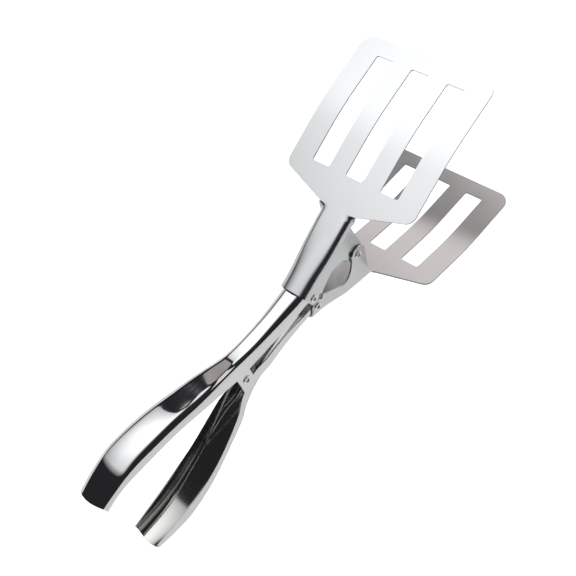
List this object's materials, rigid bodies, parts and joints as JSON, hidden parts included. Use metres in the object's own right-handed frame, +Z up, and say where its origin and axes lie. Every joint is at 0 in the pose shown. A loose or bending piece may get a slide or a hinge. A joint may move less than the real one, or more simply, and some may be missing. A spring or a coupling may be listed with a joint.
{
  "type": "barbecue tongs",
  "caption": "Open turner tongs with slotted rectangular spatula blades, compound lever linkage and curved channel handles, in stainless steel.",
  "frame": {"origin": "centre of the bounding box's foot, on the surface that the lower blade's tip and the lower handle stand on", "axes": "+X towards the blade tips, +Y across the blades to the left, +Z up"},
  "size_m": [0.2904, 0.085, 0.1039],
  "materials": {
    "polished_steel": "mirror-polished stainless steel",
    "satin_steel": "satin stainless steel",
    "rivet_steel": "turned stainless steel",
    "spring_wire": "bright drawn wire"
  },
  "bodies": {
    "lower_handle": {"handle_lower": "polished_steel", "handle_rivet": "rivet_steel", "return_spring": "spring_wire", "lower_link_rivet_left": "rivet_steel", "lower_link_rivet_right": "rivet_steel"},
    "upper_handle": {"handle_upper": "polished_steel", "upper_link_rivet_left": "rivet_steel", "upper_link_rivet_right": "rivet_steel"},
    "upper_spatula": {"spatula_upper": "satin_steel"},
    "lower_spatula": {"spatula_lower": "satin_steel", "head_rivet_left": "rivet_steel", "head_rivet_right": "rivet_steel"}
  },
  "joints": [
    {"name": "handles_squeeze", "type": "hinge", "parent": "lower_handle", "child": "upper_handle", "pos_m": [-0.04726, 0, 0.04508], "axis": [0, -1, 0], "range_deg": [0, 33.4], "stiffness_Nm_per_rad": 0.9, "springref_deg": -22.35, "deforming": ["return_spring"]},
    {"name": "upper_spatula_turn", "type": "hinge", "parent": "upper_handle", "child": "upper_spatula", "pos_m": [0.00854, 0, 0.05155], "axis": [0, 1, 0], "range_deg": [0, 43.6]},
    {"name": "lower_spatula_turn", "type": "hinge", "parent": "lower_handle", "child": "lower_spatula", "pos_m": [0.00886, 0, 0.04266], "axis": [0, -1, 0], "range_deg": [0, 43.6]}
  ],
  "couplings": [
    {"joint": "upper_spatula_turn", "follows": "handles_squeeze", "ratio": 1.303},
    {"joint": "lower_spatula_turn", "follows": "handles_squeeze", "ratio": 1.303}
  ]
}
